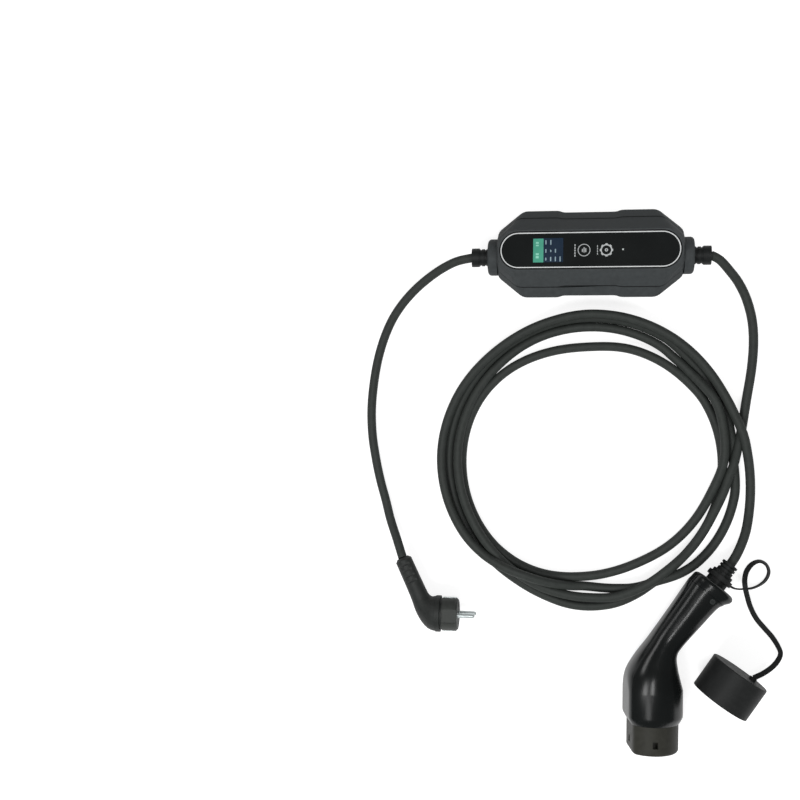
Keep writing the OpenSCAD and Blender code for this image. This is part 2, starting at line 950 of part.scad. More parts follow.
// Share of the flare that is reached halfway along it
cap_swell = 0.7;
cap_round = 2.2;
spigot_l = 9;
spigot_play = 0.4;
spigot_taper = 0.8;
spigot_wall = 4;
function rear_ring(reach, share, grow) = section(
    handle_point(reach, cap_bulge * share), handle_heading,
    butt_w + cap_lip * share + grow, butt_h + cap_rise * share + grow, butt_e, butt_w + cap_lip * share + grow
);
function spigot_ring(reach, inset) = section(
    handle_point(reach), handle_heading,
    butt_w - housing_wall - inset, butt_h - housing_wall - inset, butt_e, butt_w
);
module rear_cap() {
    color(gloss_black)
    rolled()
    difference() {
        union() {
            loft([
                rear_ring(handle_l, 0, 0),
                rear_ring(handle_l + cap_flare / 2, cap_swell, 0),
                rear_ring(handle_l + cap_flare, 1, 0),
                rear_ring(handle_l + rear_cap_l - cap_round, 1, 0),
                rear_ring(handle_l + rear_cap_l, 1, -cap_round)
            ]);
            loft([
                spigot_ring(handle_l - spigot_l, spigot_play + spigot_taper),
                spigot_ring(handle_l + over, spigot_play)
            ]);
        }
        loft([
            spigot_ring(handle_l - spigot_l - over, spigot_play + spigot_wall),
            spigot_ring(handle_l, spigot_play + spigot_wall)
        ]);
        at_handle(handle_l - over)
            cylinder(d = lead_d + 2 * slip, h = rear_cap_l + 2 * over);
        at_flank(conn_z)
            cylinder(d = flank_screw_d, h = body_r);
    }
}
module rear_cap_screw() {
    color(bright_metal)
    rolled()
    difference() {
        union() {
            at_flank(flank_seat_z - flank_screw_l)
                cylinder(d = flank_screw_d, h = flank_screw_l);
            at_flank(flank_seat_z)
                cylinder(d = flank_head_d, h = flank_head_h);
        }
        at_flank(flank_seat_z + flank_head_h - socket_depth)
            cylinder(d = socket_d, h = socket_depth + over, $fn = 6);
    }
}

// Gland nut behind the cap, with finger ribs around it
nut_reach = handle_l + rear_cap_l;
nut_ribs = 12;
nut_rib_r = 1;
// Share of the nut's length that stays smooth
nut_smooth = 0.85;
module gland_nut() {
    color(soft_black)
    rolled()
    at_handle(nut_reach)
        difference() {
            cylinder(d = nut_d, h = nut_l);
            for (i = [0 : nut_ribs - 1])
                rotate([0, 0, 360 * i / nut_ribs])
                    translate([nut_d / 2, 0, nut_l * nut_smooth])
                        cylinder(r = nut_rib_r, h = nut_l);
        }
}
conn_relief_d = 17.8;
conn_ribs = 2;
conn_rib_depth = 1.4;
module connector_relief() {
    rib_pitch = conn_relief_l / (conn_ribs + 1);
    color(soft_black)
    rolled()
    at_handle(nut_reach + nut_l)
        rotate_extrude()
            difference() {
                square([conn_relief_d / 2, conn_relief_l]);
                for (i = [1 : conn_ribs])
                    translate([conn_relief_d / 2 - conn_rib_depth, rib_pitch * i])
                        square([conn_rib_depth + over, rib_pitch * groove_share]);
            }
}

// Tether: a ring on the gland nut, a flat strap, and the dust cap that it holds
ring_t = 2.6;
ring_l = 5;
ring_back = 6;
ring_reach = nut_reach + ring_back;
module tether_ring() {
    color(soft_black)
    rolled()
    at_handle(ring_reach)
        rotate_extrude()
            translate([nut_d / 2 + slip, 0])
                square([ring_t, ring_l]);
}

// The dust cap lies on its side and fits over the nose
cap_play = 0.4;
cap_r = nose_r + cap_play + cap_wall;
cap_place = [160.8, -444.6];
cap_heading = 236.7;
cap_bead = 0.8;
lug_r = 4;
lug_h = 3;
lug_shift = 14;
cap_across = [-sin(cap_heading), cos(cap_heading)];
cap_along = [cos(cap_heading), sin(cap_heading)];
module at_cap() {
    translate([cap_place[0], cap_place[1], cap_r])
        rotate([0, 0, cap_heading])
            rotate([0, 90, 0])
                children();
}
module dust_cap() {
    color(soft_black)
    at_cap() {
        rotate_extrude($fn = 96)
            polygon([
                [0, 0], [cap_r - cap_bead, 0], [cap_r, cap_bead], [cap_r, cap_depth],
                [cap_r - cap_wall, cap_depth], [cap_r - cap_wall, cap_floor], [0, cap_floor]
            ]);
        translate([0, lug_shift, -lug_h])
            cylinder(r = lug_r, h = lug_h);
    }
}

// Route of the strap, from the ring to the cap's lug
strap_sides = 8;
ring_side = handle_point(ring_reach + ring_l / 2, gland_shift + nut_d / 2 + slip + ring_t);
lug_end = cap_place + cap_across * lug_shift - cap_along * lug_h;
strap_route = [
    rolled_place(on_axis(ring_side)),
    [155.2, -358.8, 19.5], [159.5, -360, 15], [164, -360.5, 10.5], [169.5, -360.5, 6], [176, -360, 2],
    [182, -357.5, 1.2], [188, -353, 1.2], [192, -347, 1.2], [193, -340.5, 1.2], [190, -334, 1.2],
    [183.5, -331, 1.2], [176, -334, 2], [170, -341, 6], [167, -349, 13], [167, -357.5, 16.5],
    [170, -368.5, 11], [174.5, -381, 4], [181, -393, 1.2], [189.5, -403, 1.2], [197, -411.5, 1.2],
    [204, -420.5, 2], [207, -428.5, 6], [204.5, -435.5, 12], [197.5, -440, 19], [189, -442, 26],
    [181.5, -443.5, 30.5],
    [lug_end[0], lug_end[1], cap_r]
];
module tether_strap() {
    color(soft_black)
    swept(
        strap_route, rolled_way([-handle_left[0], -handle_left[1], 0]), [cap_along[0], cap_along[1], 0],
        strap_w, strap_t, strap_sides
    );
}

// Mains plug: the face points along +X, and the arm leaves towards the cable
plug_y = -398.5;
plug_z = flange_d / 2;
plug_back_x = -164;
flange_l = 5;
seam_l = 2.5;
face_x = plug_back_x + flange_l + seam_l;
arm_heading = 115.5;
arm_u = [cos(arm_heading), sin(arm_heading)];
arm_start_x = -174;
arm_end_d = 18.5;
arm_root_d = 19.5;
arm_root = 25;
arm_round = 3;
slot_count = 4;
slot_first = 8;
slot_pitch = 6.5;
slot_w = 2.6;
slot_depth = 2.2;
dome_step = 0.5;
dome_r = flange_d / 2 - dome_step;
seam_step = 1;
// Elbow of the plug behind its flange: steps back and across, heading, radius
plug_table = [
    [-6, 1.2, 170, 18],
    [-12, 6.5, 150, 14],
    [-16.5, 13.5, 130, 11]
];
function arm_station(reach, r) =
    [arm_start_x + arm_u[0] * reach, plug_y + arm_u[1] * reach, arm_heading, r];
plug_stations = concat(
    [[plug_back_x, plug_y, 180, dome_r]],
    [for (s = plug_table) [plug_back_x + s[0], plug_y + s[1], s[2], s[3]]],
    [arm_station(arm_root, arm_root_d / 2), arm_station(arm_l - arm_round, arm_end_d / 2)]
);
function plug_ring(s) = [
    for (k = [0 : ring_points - 1])
        let (w = s[3] * cos(360 * k / ring_points), v = s[3] * sin(360 * k / ring_points))
        [s[0] - w * sin(s[2]), s[1] + w * cos(s[2]), plug_z + v]
];
module at_plug(x) {
    translate([x, plug_y, plug_z])
        rotate([0, 90, 0])
            children();
}
module at_arm(reach) {
    translate([arm_start_x + arm_u[0] * reach, plug_y + arm_u[1] * reach, plug_z])
        rotate([0, 0, arm_heading])
            rotate([0, 90, 0])
                children();
}
module plug_body() {
    seam_r = face_d / 2 - seam_step;
    color(soft_black)
    difference() {
        union() {
            loft(concat(
                [plug_ring([plug_back_x + over, plug_y, 180, dome_r])],
                [for (s = smooth_run(plug_stations)) plug_ring(s)],
                [plug_ring(arm_station(arm_l, arm_end_d / 2 - arm_round))]
            ));
            at_plug(plug_back_x)
                cylinder(d = flange_d, h = flange_l);
            at_plug(plug_back_x + flange_l)
                cylinder(r = seam_r, h = seam_l);
        }
        for (i = [0 : slot_count - 1], side = [-1, 1])
            at_arm(arm_l - slot_first - slot_pitch * i)
                translate([side * arm_end_d / 2, 0, 0])
                    cube([2 * slot_depth, arm_root_d, slot_w], center = true);
    }
}

// Face of the plug, with guide flats above and below, clip grooves at the sides and pin holes
guide_w = 15;
guide_depth = 2.2;
clip_w = 4;
clip_t = 1;
clip_rise = 0.4;
pin_seat = 10;
root_rise = 0.5;
earth_place = 10;
earth_l = 14;
face_round = 2;
module plug_face() {
    color(soft_black)
    at_plug(face_x)
        difference() {
            rotate_extrude()
                polygon([
                    [0, 0], [face_d / 2, 0], [face_d / 2, face_l - face_round],
                    [face_d / 2 - face_round, face_l], [0, face_l]
                ]);
            for (side = [-1, 1]) {
                translate([side * (face_d / 2 + guide_depth) - 2 * guide_depth, -guide_w / 2, -over])
                    cube([4 * guide_depth, guide_w, face_l + 2 * over]);
                translate([-clip_w / 2 - slip, side * face_d / 2 - clip_t - slip, -over])
                    cube([clip_w + 2 * slip, 2 * (clip_t + slip), face_l + 2 * over]);
                translate([side * pin_pitch / 2, 0, face_l - pin_seat])
                    cylinder(d = pin_d + 2 * root_rise, h = pin_seat + over);
            }
            translate([0, earth_place, face_l - earth_l])
                cylinder(d = earth_d, h = earth_l + over);
        }
}

tip_l = 2;
module plug_pins() {
    color(bright_metal)
    at_plug(face_x + face_l - pin_seat)
        for (side = [-1, 1])
            translate([side * pin_pitch / 2, 0, 0])
                rotate_extrude()
                    polygon([
                        [0, 0], [pin_d / 2 + root_rise, 0], [pin_d / 2 + root_rise, pin_seat],
                        [pin_d / 2, pin_seat], [pin_d / 2, pin_seat + pin_l - tip_l],
                        [pin_d / 4, pin_seat + pin_l], [0, pin_seat + pin_l]
                    ]);
}

clip_back = 2;
clip_l = face_l - clip_back;
module earth_contacts() {
    color(bright_metal)
    at_plug(face_x)
        for (turn = [0, 180])
            rotate([0, 0, turn])
                translate([-clip_w / 2, face_d / 2 - clip_t, 0])
                    cube([clip_w, clip_t + clip_rise, clip_l]);
}

// Cable routes: round numbers along the floor, with the ends in their strain reliefs
cable_sides = 10;
gland_end = half_l + collar_l + relief_l;
arm_end = [arm_start_x + arm_u[0] * arm_l, plug_y + arm_u[1] * arm_l, plug_z];
input_route = [
    [-gland_end, gland_y, gland_z],
    [-146, -6.5, 21.5], [-164, -14.5, 17], [-182, -26, 11.5], [-197, -38.5, 7.5], [-210, -53, 5.5],
    [-221, -70, 5], [-230, -91, 5], [-237, -116, 5], [-241.5, -144, 5], [-243.5, -173, 5],
    [-242, -202, 5], [-237.5, -229, 5], [-232, -253, 5], [-225.5, -275, 5.5], [-219, -297, 8.5],
    [-210.5, -318, 14.5],
    arm_end
];
module input_cable() {
    color(cable_black)
    swept(input_route, [-1, 0, 0], [-arm_u[0], -arm_u[1], 0], cable_d, cable_d, cable_sides);
}

// Coil: one ring of the outer shape of the turns, with a stub where each end of the cable leaves it
coil_place = [0, -224];
coil_inner_r = 118;
coil_outer_r = 163.5;
coil_h = 2 * cable_d;
coil_round = cable_d / 2;
stub_lift = 0.3;
lead_z = cable_d / 2 + stub_lift;
tail_z = coil_h - cable_d / 2 - stub_lift;
lead_end = [168.5, -157.5, lead_z];
lead_inside = [156, -214, lead_z];
tail_start = [169, -194, tail_z];
tail_inside = [151, -168, tail_z];
module stub(a, b) {
    run = b - a;
    translate(a)
        rotate([0, 90, atan2(run[1], run[0])])
            cylinder(d = cable_d, h = norm(run));
}
module output_coil() {
    color(cable_black) {
        translate([coil_place[0], coil_place[1], 0])
            rotate_extrude($fn = 96) {
                translate([coil_inner_r + coil_round, 0])
                    square([coil_outer_r - coil_inner_r - 2 * coil_round, coil_h]);
                translate([coil_inner_r, coil_round])
                    square([coil_outer_r - coil_inner_r, coil_h - 2 * coil_round]);
                for (r = [coil_inner_r + coil_round, coil_outer_r - coil_round])
                    for (z = [coil_round, coil_h - coil_round])
                        translate([r, z])
                            circle(r = coil_round);
            }
        stub(lead_inside, lead_end);
        stub(tail_inside, tail_start);
    }
}

lead_route = [
    [gland_end, gland_y, gland_z],
    [138, -8, 21.5], [149, -19.5, 17], [159, -32, 12], [168, -49.5, 7], [174, -72, 5],
    [175.5, -97, 5], [173.5, -125, 5],
    lead_end
];
module output_lead() {
    color(cable_black)
    swept(lead_route, [1, 0, 0], lead_inside - lead_end, cable_d, cable_d, cable_sides);
}

conn_exit = handle_point(nut_reach + nut_l + conn_relief_l, gland_shift);
tail_route = [
    tail_start,
    [173, -215, 12], [174.5, -236, 8], [174, -258, 7], [172, -279, 8], [167.5, -299.5, 13],
    [160, -318.5, 18],
    rolled_place(on_axis(conn_exit))
];
module output_tail() {
    color(cable_black)
    swept(
        tail_route, tail_start - tail_inside, rolled_way([-handle_u[0], -handle_u[1], 0]),
        cable_d, cable_d, cable_sides
    );
}

lower_shell();
upper_shell();
case_gasket();
case_screws();
panel_trim();
front_panel();
display();
touch_pads();
status_led();
display_board();
main_board();
board_screws();
relays();
current_transformer();
power_module();
capacitors();
varistors();
terminal_blocks();
input_wires();
output_wires();
input_collar();
output_collar();
input_relief();
output_relief();
connector_housing();
nose_shroud();
contact_carrier();
power_sockets();
pilot_sockets();
connector_leads();
rear_cap();
rear_cap_screw();
gland_nut();
connector_relief();
tether_ring();
tether_strap();
dust_cap();
plug_body();
plug_face();
plug_pins();
earth_contacts();
input_cable();
output_lead();
output_coil();
output_tail();
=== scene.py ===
import json
import math

import bmesh
import bpy
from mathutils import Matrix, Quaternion, Vector


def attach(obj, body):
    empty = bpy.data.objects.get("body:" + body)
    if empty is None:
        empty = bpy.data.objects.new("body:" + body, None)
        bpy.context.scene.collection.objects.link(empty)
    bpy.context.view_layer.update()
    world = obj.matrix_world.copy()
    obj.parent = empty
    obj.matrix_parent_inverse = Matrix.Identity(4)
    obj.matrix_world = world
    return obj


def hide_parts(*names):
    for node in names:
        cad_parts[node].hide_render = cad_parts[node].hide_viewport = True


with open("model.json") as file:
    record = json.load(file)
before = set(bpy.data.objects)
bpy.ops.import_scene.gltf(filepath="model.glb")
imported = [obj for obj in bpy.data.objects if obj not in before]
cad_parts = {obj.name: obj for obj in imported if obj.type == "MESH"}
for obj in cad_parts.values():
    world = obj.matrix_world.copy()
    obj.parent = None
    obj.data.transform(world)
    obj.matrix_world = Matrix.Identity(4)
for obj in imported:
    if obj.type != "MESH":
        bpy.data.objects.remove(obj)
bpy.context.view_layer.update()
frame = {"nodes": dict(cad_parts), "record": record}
nodes = frame["nodes"]
BODY = "root"
MM = 0.001


# Camera, set from the photograph: focal length in pixels, place, the pixel straight below it, and roll

PHOTO_SIZE = 800
FOCAL_PX = 1111
CAMERA_PLACE = Vector((-0.9, -192.5, 1250)) * MM
PLUMB_PX = (587, 430)
CAMERA_ROLL = 0.7
SENSOR = 36


def make_camera():
    data = bpy.data.cameras.new("camera")
    data.sensor_width = SENSOR
    data.lens = SENSOR * FOCAL_PX / PHOTO_SIZE
    camera = bpy.data.objects.new("camera", data)
    bpy.context.scene.collection.objects.link(camera)
    half = PHOTO_SIZE / 2
    down_in_view = Vector(((PLUMB_PX[0] - half) / FOCAL_PX, (half - PLUMB_PX[1]) / FOCAL_PX, -1))
    level = down_in_view.rotation_difference(Vector((0, 0, -1)))
    turn = Quaternion((0, 0, 1), math.radians(CAMERA_ROLL))
    camera.rotation_mode = "QUATERNION"
    camera.rotation_quaternion = turn @ level
    camera.location = CAMERA_PLACE
    bpy.context.scene.camera = camera


# Materials

COAT_ROUGHNESS = 0.08
# Range of the noises that is used, how much broader the mottling is than the grain, and their detail
NOISE_RANGE = (0.3, 0.7)
MOTTLE_BREADTH = 12
MOTTLE_DETAIL = 4
GRAIN_DETAIL = 3
BUMP_STRENGTH = 0.6


def linear(rgb):
    """A screen colour from 0 to 255 as the linear colour that the shaders take."""
    parts = [c / 255 for c in rgb]
    return [c / 12.92 if c <= 0.04045 else ((c + 0.055) / 1.055) ** 2.4 for c in parts] + [1]


def shade(rgb, factor):
    return [min(255, c * factor) for c in rgb]


def new_material(name, rgb, roughness, metallic=0.0, coat=0.0, specular=0.5):
    material = bpy.data.materials.new(name)
    material.use_nodes = True
    shader = material.node_tree.nodes["Principled BSDF"]
    shader.inputs["Base Color"].default_value = linear(rgb)
    shader.inputs["Roughness"].default_value = roughness
    shader.inputs["Metallic"].default_value = metallic
    shader.inputs["Coat Weight"].default_value = coat
    shader.inputs["Coat Roughness"].default_value = COAT_ROUGHNESS
    shader.inputs["Specular IOR Level"].default_value = specular
    return material


def noise(tree, place, scale, detail):
    texture = tree.nodes.new("ShaderNodeTexNoise")
    texture.inputs["Scale"].default_value = scale
    texture.inputs["Detail"].default_value = detail
    tree.links.new(place.outputs["Object"], texture.inputs["Vector"])
    return texture


def grain(material, rgb_low, rgb_high, scale, height_mm, rough_low, rough_high):
    """Surface grain: mottled colour, uneven gloss and a fine bump, from two noises."""
    tree = material.node_tree
    shader = tree.nodes["Principled BSDF"]
    place = tree.nodes.new("ShaderNodeTexCoord")
    broad = noise(tree, place, scale / MOTTLE_BREADTH, MOTTLE_DETAIL)
    fine = noise(tree, place, scale, GRAIN_DETAIL)
    ramp = tree.nodes.new("ShaderNodeValToRGB")
    for end, position, rgb in zip(ramp.color_ramp.elements, NOISE_RANGE, (rgb_low, rgb_high)):
        end.position = position
        end.color = linear(rgb)
    gloss = tree.nodes.new("ShaderNodeMapRange")
    gloss.inputs["From Min"].default_value, gloss.inputs["From Max"].default_value = NOISE_RANGE
    gloss.inputs["To Min"].default_value = rough_low
    gloss.inputs["To Max"].default_value = rough_high
    bump = tree.nodes.new("ShaderNodeBump")
    bump.inputs["Strength"].default_value = BUMP_STRENGTH
    bump.inputs["Distance"].default_value = height_mm * MM
    tree.links.new(broad.outputs["Fac"], ramp.inputs["Fac"])
    tree.links.new(ramp.outputs["Color"], shader.inputs["Base Color"])
    tree.links.new(broad.outputs["Fac"], gloss.inputs["Value"])
    tree.links.new(gloss.outputs["Result"], shader.inputs["Roughness"])
    tree.links.new(fine.outputs["Fac"], bump.inputs["Height"])
    tree.links.new(bump.outputs["Normal"], shader.inputs["Normal"])
    return material


def moulded(name, rgb, roughness, scale=1400, height_mm=0.04, spread=0.06, coat=0.0, specular=0.5):
    """Moulded plastic or rubber with a grain of its own."""
    material = new_material(name, rgb, roughness, coat=coat, specular=specular)
    return grain(material, shade(rgb, 1 - spread), shade(rgb, 1 + spread), scale, height_mm,
                 roughness * 0.9, roughness * 1.1)


def metal(name, rgb, roughness, scale=900, metallic=1.0):
    material = new_material(name, rgb, roughness, metallic=metallic)
    return grain(material, shade(rgb, 0.96), shade(rgb, 1.02), scale, 0.01,
                 roughness * 0.8, roughness * 1.3)


def glowing(name, rgb, strength):
    """A lit field of the display behind clear plastic."""
    material = new_material(name, rgb, 0.2)
    grain(material, shade(rgb, 0.94), shade(rgb, 1.05), 500, 0.005, 0.18, 0.24)
    shader = material.node_tree.nodes["Principled BSDF"]
    shader.inputs["Emission Color"].default_value = linear(rgb)
    shader.inputs["Emission Strength"].default_value = strength
    return material


SHELL = moulded("shell_plastic", (53, 56, 57), 0.6, scale=2600, height_mm=0.05, specular=0.2)
SEAL = moulded("seal_rubber", (14, 15, 15), 0.7, specular=0.2)
STEEL = metal("steel", (206, 214, 214), 0.3, metallic=0.6)
DARK_STEEL = metal("dark_steel", (74, 77, 77), 0.4, metallic=0.8)
TRIM = metal("bright_trim", (196, 198, 198), 0.4, metallic=0.25)
PANEL = moulded("panel_gloss", (19, 21, 21), 0.14, scale=300, height_mm=0.002, coat=0.1)
SCREEN = glowing("screen_field", (22, 35, 50), 0.12)
GREEN_FIELD = glowing("screen_green", (62, 132, 111), 0.1)
PALE_MARK = glowing("screen_mark", (120, 138, 146), 0.06)
GREEN_MARK = glowing("green_mark", (120, 178, 158), 0.08)
PANEL_MARK = moulded("panel_print", (150, 153, 153), 0.35, scale=600, height_mm=0.002)
LIGHT = glowing("status_light", (158, 164, 162), 0.06)
BRASS = metal("contact_brass", (196, 170, 112), 0.3, metallic=0.7)
BOARD = moulded("board_mask", (26, 84, 51), 0.35)
COMPONENT = moulded("component_case", (34, 36, 43), 0.5)
WIRE = moulded("wire_cover", (90, 77, 64), 0.45)
RELIEF = moulded("relief_rubber", (25, 27, 27), 0.5, scale=1800, specular=0.3)
CABLE = moulded("cable_rubber", (44, 47, 45), 0.55, scale=2200, height_mm=0.04, specular=0.25)
CONNECTOR = moulded("connector_gloss", (16, 18, 18), 0.24, scale=500, height_mm=0.006)
NOSE = moulded("nose_plastic", (42, 42, 38), 0.45, scale=2400, specular=0.25)
PLUG = moulded("plug_plastic", (37, 39, 38), 0.5, scale=2400, specular=0.3)
PLUG_FACE = moulded("plug_face_plastic", (49, 51, 49), 0.5, scale=2400, specular=0.3)
CAP = moulded("cap_rubber", (30, 31, 31), 0.45, scale=2400, height_mm=0.02, specular=0.15)

SLOT_MATERIALS = {
    "shell": SHELL, "seal": SEAL, "steel": STEEL, "trim": TRIM, "panel": PANEL, "screen": SCREEN,
    "light": LIGHT, "contact": BRASS, "board": BOARD, "component": COMPONENT, "wire": WIRE,
    "relief": RELIEF, "cable": CABLE, "connector": CONNECTOR, "nose": NOSE, "plug": PLUG, "cap": CAP,
}
# Nodes that look other than the rest of their slot
NODE_MATERIALS = {"rear_cap_screw": DARK_STEEL, "plug_face": PLUG_FACE}


# Pieces

def finish_piece(piece, material, replaced=()):
    piece.data.materials.append(material)
    bpy.context.scene.collection.objects.link(piece)
    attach(piece, BODY)
    if replaced:
        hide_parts(*replaced)
    return piece


def outward_mesh(name, points, faces):
    """A mesh from points in millimetres, with its faces turned outwards."""
    mesh = bpy.data.meshes.new(name)
    mesh.from_pydata([p * MM for p in points], [], faces)
    shape = bmesh.new()
    shape.from_mesh(mesh)
    bmesh.ops.recalc_face_normals(shape, faces=shape.faces)
    shape.to_mesh(mesh)
    shape.free()
    return mesh


def mesh_piece(name, points, faces, material, slot, replaced=()):
    piece = bpy.data.objects.new(name, outward_mesh(name, points, faces))
    return finish_piece(piece, material, replaced)


def loft(rings, close_start=True, close_end=True):
    """Points and faces of a skin through rings of equal count."""
    count = len(rings[0])
    points = [p for ring in rings for p in ring]
    faces = []
    for start in range(0, len(points) - count, count):
        for j in range(count):
            k = (j + 1) % count
            faces.append((start + j, start + k, start + count + k, start + count + j))
    if close_start:
        faces.append(tuple(range(count))[::-1])
    if close_end:
        faces.append(tuple(range(len(points) - count, len(points))))
    return points, faces


SMOOTH_ANGLE = 32
EDGE_ANGLE = 28
EDGE_SEGMENTS = 2


def smoothing_group():
    """Shades smooth, except over edges that bend more than the limit."""
    group = bpy.data.node_groups.new("smooth_by_angle", "GeometryNodeTree")
    for way in ("INPUT", "OUTPUT"):
        group.interface.new_socket("Geometry", in_out=way, socket_type="NodeSocketGeometry")
    start = group.nodes.new("NodeGroupInput")
    end = group.nodes.new("NodeGroupOutput")
    faces = group.nodes.new("GeometryNodeSetShadeSmooth")
    edges = group.nodes.new("GeometryNodeSetShadeSmooth")
    edges.domain = "EDGE"
    edges.inputs["Shade Smooth"].default_value = False
    angle = group.nodes.new("GeometryNodeInputMeshEdgeAngle")
    sharp = group.nodes.new("FunctionNodeCompare")
    sharp.operation = "GREATER_THAN"
    sharp.inputs[1].default_value = math.radians(SMOOTH_ANGLE)
    group.links.new(start.outputs[0], faces.inputs["Geometry"])
    group.links.new(faces.outputs["Geometry"], edges.inputs["Geometry"])
    group.links.new(edges.outputs["Geometry"], end.inputs[0])
    group.links.new(angle.outputs["Unsigned Angle"], sharp.inputs[0])
    group.links.new(sharp.outputs["Result"], edges.inputs["Selection"])
    return group


SMOOTHING = smoothing_group()


def smooth(piece):
    piece.modifiers.new("smooth", "NODES").node_group = SMOOTHING
    return piece


def soften(piece, width_mm):
    """Rounds the edges of a piece and shades it smooth between them."""
    bevel = piece.modifiers.new("edges", "BEVEL")
    bevel.width = width_mm * MM
    bevel.segments = EDGE_SEGMENTS
    bevel.limit_method = "ANGLE"
    bevel.angle_limit = math.radians(EDGE_ANGLE)
    return smooth(piece)


EDGE_ROUNDS = {
    "lower_shell": 1.2, "upper_shell": 1.2, "panel_trim": 0.25, "front_panel": 0.15, "plug_body": 0.5,
    "plug_face": 0.9, "dust_cap": 0.8, "gland_nut": 0.6, "connector_relief": 0.5, "input_relief": 0.5,
    "output_relief": 0.5, "tether_ring": 0.6,
}


def dress_nodes():
    """Gives each carried-over node the material of its slot, and the edges of the real moulding."""
    for row in frame["record"]["subparts"]:
        name = row["node"]
        node = nodes[name]
        node.data.materials.clear()
        node.data.materials.append(NODE_MATERIALS.get(name, SLOT_MATERIALS[row["material_slot"]]))
        if name in EDGE_ROUNDS:
            soften(node, EDGE_ROUNDS[name])
        else:
            smooth(node)


# Cords

def through(points, steps):
    """A smooth line through points, with a number of steps between each two."""
    line = []
    last = len(points) - 1
    for i in range(last):
        a = points[max(i - 1, 0)]
        b = points[i]
        c = points[i + 1]
        d = points[min(i + 2, last)]
        for k in range(steps):
            t = k / steps
            line.append((2 * b + (c - a) * t + (2 * a - 5 * b + 4 * c - d) * t ** 2
                         + (3 * b - a - 3 * c + d) * t ** 3) / 2)
    line.append(points[last])
    return line


CABLE_D = 10
CABLE_ROUNDNESS = 5


def cable_piece(name, line, diameter_mm, material, replaced):
    curve = bpy.data.curves.new(name, "CURVE")
    curve.dimensions = "3D"
    curve.bevel_depth = diameter_mm / 2 * MM
    curve.bevel_resolution = CABLE_ROUNDNESS
    curve.use_fill_caps = True
    curve.twist_mode = "MINIMUM"
    spline = curve.splines.new("POLY")
    spline.points.add(len(line) - 1)
    for place, point in zip(spline.points, line):
        place.co = (*(point * MM), 1)
    spline.use_smooth = True
    return finish_piece(bpy.data.objects.new(name, curve), material, replaced)


INPUT_EXIT = Vector((-128.5, -3, 23))
OUTPUT_EXIT = Vector((128.5, -3, 23))
PLUG_ARM_END = Vector((-202.84, -338.03, 20))
CONNECTOR_EXIT = Vector((151.04, -333.19, 21.59))

INPUT_ROUTE = [INPUT_EXIT] + [Vector(p) for p in (
    (-146, -6.5, 21.5), (-164, -14.5, 17), (-182, -26, 11.5), (-197, -38.5, 7.5), (-210, -53, 5.5),
    (-221, -70, 5), (-230, -91, 5), (-237, -116, 5), (-241.5, -144, 5), (-243.5, -173, 5),
    (-242, -202, 5), (-237.5, -229, 5), (-232, -253, 5), (-225.5, -275, 5.5), (-219, -297, 8.5),
    (-210.5, -318, 14.5),
)] + [PLUG_ARM_END]

LEAD_ROUTE = [OUTPUT_EXIT] + [Vector(p) for p in (
    (138, -8, 21.5), (149, -19.5, 17), (159, -32, 12), (168, -49.5, 7), (174, -72, 5),
    (175.5, -97, 5), (173.5, -125, 5), (168.5, -157.5, 5), (163.5, -190, 6),
)]

TAIL_ROUTE = [Vector(p) for p in (
    (164, -194, 14.7), (169, -215, 12), (172.2, -236, 8), (173, -258, 7), (171.5, -279, 8),
    (167.5, -299.5, 13), (160, -318.5, 18),
)] + [CONNECTOR_EXIT]

# The four turns of the coil, clockwise from the right: angle, radius and height at a few places of each
COIL_CENTRE = Vector((0, -224, 0))
COIL_TURNS = [
    [(0, 155.7, 13), (6, 150.8, 14.5), (11, 148.5, 15), (23, 145, 15), (41, 145, 18), (54, 145.5, 23),
     (65, 149, 20), (79, 152.7, 13), (87, 151.8, 12), (94, 151.5, 11), (103, 150.8, 11.5), (111, 150, 12),
     (127, 147.5, 13), (149, 144.5, 14), (179, 143, 14), (225, 142.7, 8), (243, 144.2, 5), (270, 145.4, 5),
     (286, 146.3, 5), (302, 146.5, 5), (310, 144.8, 5), (320, 145.2, 8), (327, 147.2, 12), (334, 149.8, 15),
     (346, 147.8, 15)],
    [(0, 144.2, 15), (13, 136.7, 13), (23, 133.5, 8), (45, 128.5, 5), (65, 125.5, 5), (89, 129, 5),
     (111, 136.7, 5), (118, 138.7, 5), (125, 140.2, 5), (139, 141.5, 5), (179, 139, 5), (205, 136.5, 5),
     (222, 133, 5), (251, 125, 5), (270, 123.5, 5), (291, 129.3, 5), (302, 132, 5), (311, 134.2, 5),
     (321, 136.8, 5), (332, 140.3, 5)],
    [(0, 143.8, 5), (23, 145.5, 5), (45, 147, 5), (60, 151, 5), (71, 157, 5), (80, 161, 5), (94, 162, 5),
     (109, 158, 5), (122, 155.5, 5), (148, 154.5, 5), (179, 153.5, 5), (230, 152.5, 5), (270, 155.4, 5),
     (302, 156.8, 5), (310, 155, 5), (320, 154, 5), (332, 154, 5), (340, 156, 5), (349, 155.5, 5)],
    [(0, 155.5, 5), (6, 158, 5), (13, 161, 5), (30, 163, 5), (44, 161, 8), (52, 156.5, 13), (60, 151, 14),
     (70, 148, 12), (78, 144.5, 6), (90, 140.2, 5), (97, 141, 9), (105, 142.3, 15), (117, 145.3, 21),
     (127, 150.7, 21), (136, 156, 16), (149, 160, 14), (179, 161.5, 14), (204, 159, 14), (230, 155.5, 15),
     (253, 156.5, 15), (270, 159, 14), (302, 160.5, 14), (323, 160.5, 15), (333, 161, 15), (342, 163, 15)],
]
COIL_STEP = 4


def slope(stations, i, column):
    low = stations[max(i - 1, 0)]
    high = stations[min(i + 1, len(stations) - 1)]
    return (high[column] - low[column]) / (high[0] - low[0])


